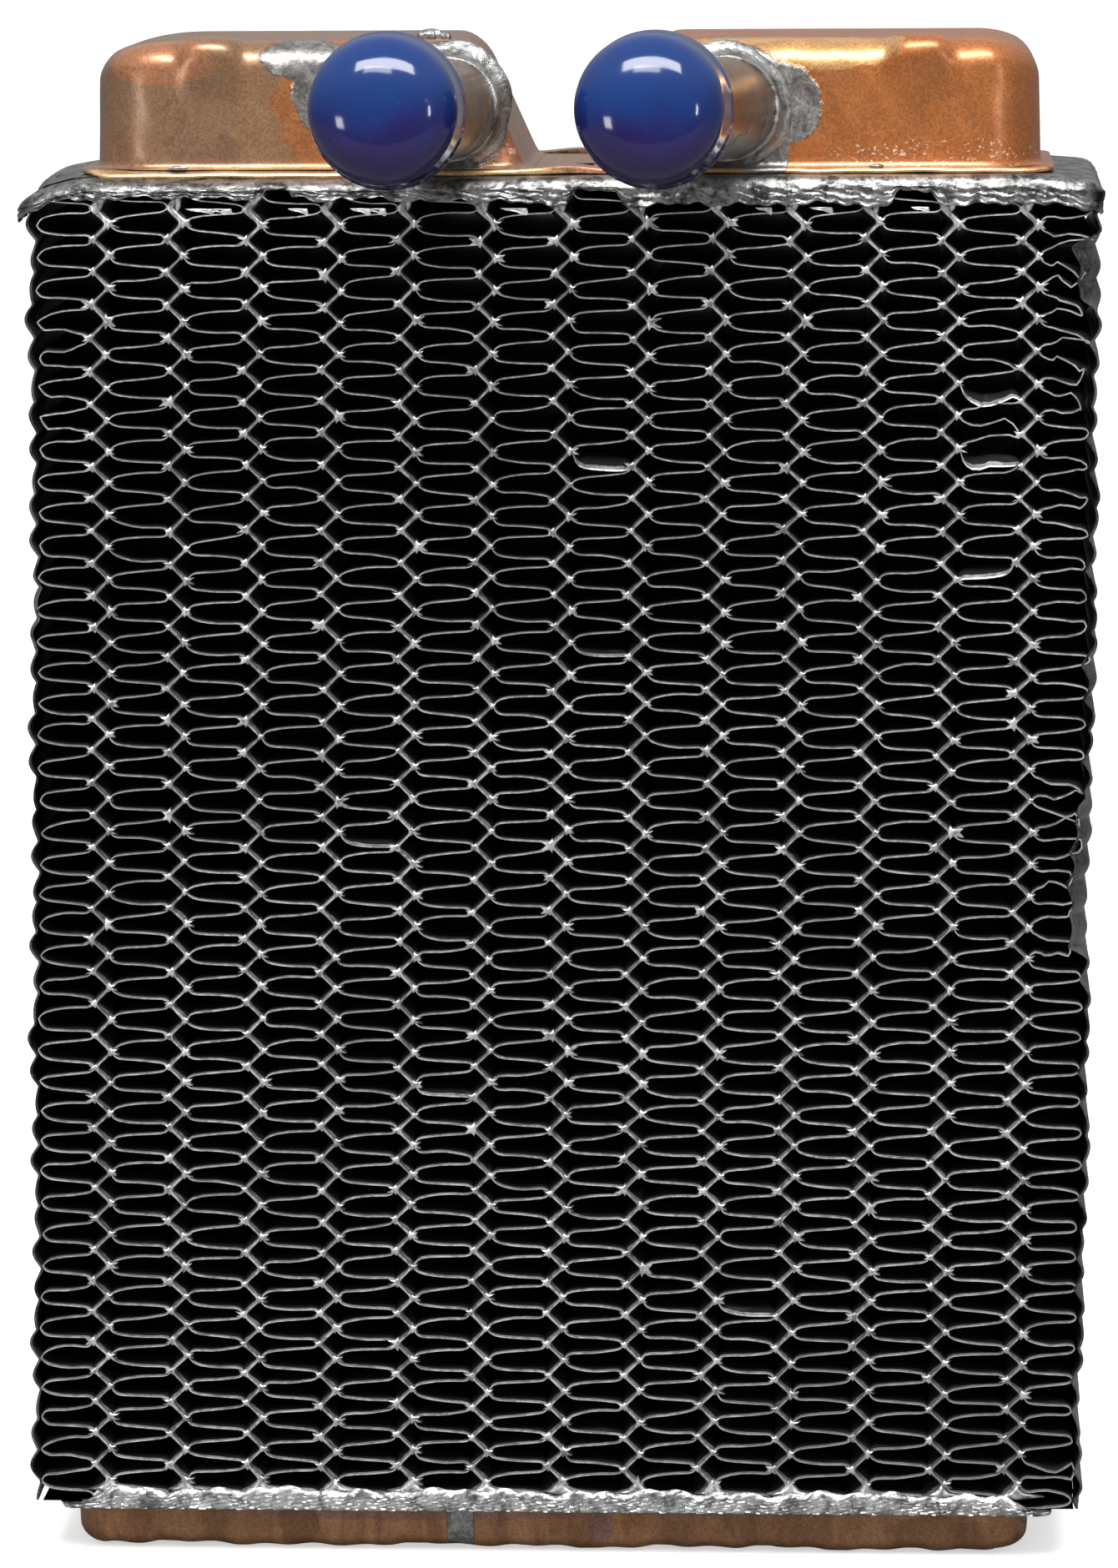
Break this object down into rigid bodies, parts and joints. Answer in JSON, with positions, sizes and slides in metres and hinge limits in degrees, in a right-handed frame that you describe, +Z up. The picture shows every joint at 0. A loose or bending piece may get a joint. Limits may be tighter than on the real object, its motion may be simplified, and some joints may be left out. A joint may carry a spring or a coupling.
{
  "type": "car heater radiator",
  "caption": "Copper and brass cellular radiator core with a two-chamber top tank, a shallow return tank, two front coolant pipes and pull-off dust caps.",
  "frame": {"origin": "centre of the return tank's flat underside, on the surface that the radiator stands on", "axes": "+Z up along the water tubes, -Y to the front, the way the coolant pipes point, +X to the right seen from the front"},
  "size_m": [0.1706, 0.1177, 0.2495],
  "materials": {
    "water_tube": "solder-dipped, dull grey with bright edges",
    "fin": "dark inside the cells, tinned and bright along the front and rear edges",
    "side_strip": "tinned, dull grey, slightly crumpled",
    "header_plate": "tinned and flooded with solder, uneven and bright",
    "top_tank": "bare copper, satin, with heat tint and solder patches",
    "return_tank": "dull brown copper with grey solder stains",
    "pipe": "satin brass, tinned near the tank",
    "solder": "bright, lumpy solder",
    "dust_cap": "glossy soft blue plastic"
  },
  "bodies": {
    "core_assembly": {"water_tube_01": "water_tube", "water_tube_02": "water_tube", "water_tube_03": "water_tube", "water_tube_04": "water_tube", "water_tube_05": "water_tube", "water_tube_06": "water_tube", "water_tube_07": "water_tube", "water_tube_08": "water_tube", "water_tube_09": "water_tube", "water_tube_10": "water_tube", "water_tube_11": "water_tube", "water_tube_12": "water_tube", "water_tube_13": "water_tube", "fin_01": "fin", "fin_02": "fin", "fin_03": "fin", "fin_04": "fin", "fin_05": "fin", "fin_06": "fin", "fin_07": "fin", "fin_08": "fin", "fin_09": "fin", "fin_10": "fin", "fin_11": "fin", "fin_12": "fin", "fin_13": "fin", "fin_14": "fin", "side_strip_left": "side_strip", "side_strip_right": "side_strip", "top_header_plate": "header_plate", "bottom_header_plate": "header_plate", "top_tank": "top_tank", "return_tank": "return_tank", "inlet_solder_ring": "solder", "outlet_solder_ring": "solder", "inlet_pipe": "pipe", "outlet_pipe": "pipe"},
    "inlet_cap": {"inlet_cap": "dust_cap"},
    "outlet_cap": {"outlet_cap": "dust_cap"}
  },
  "joints": [
    {"name": "inlet_cap_pull", "type": "slide", "parent": "core_assembly", "child": "inlet_cap", "axis": [-0.0872, -0.9948, 0.0521], "range_m": [0, 0.03]},
    {"name": "outlet_cap_pull", "type": "slide", "parent": "core_assembly", "child": "outlet_cap", "axis": [-0.165, -0.9849, 0.0516], "range_m": [0, 0.03]}
  ]
}
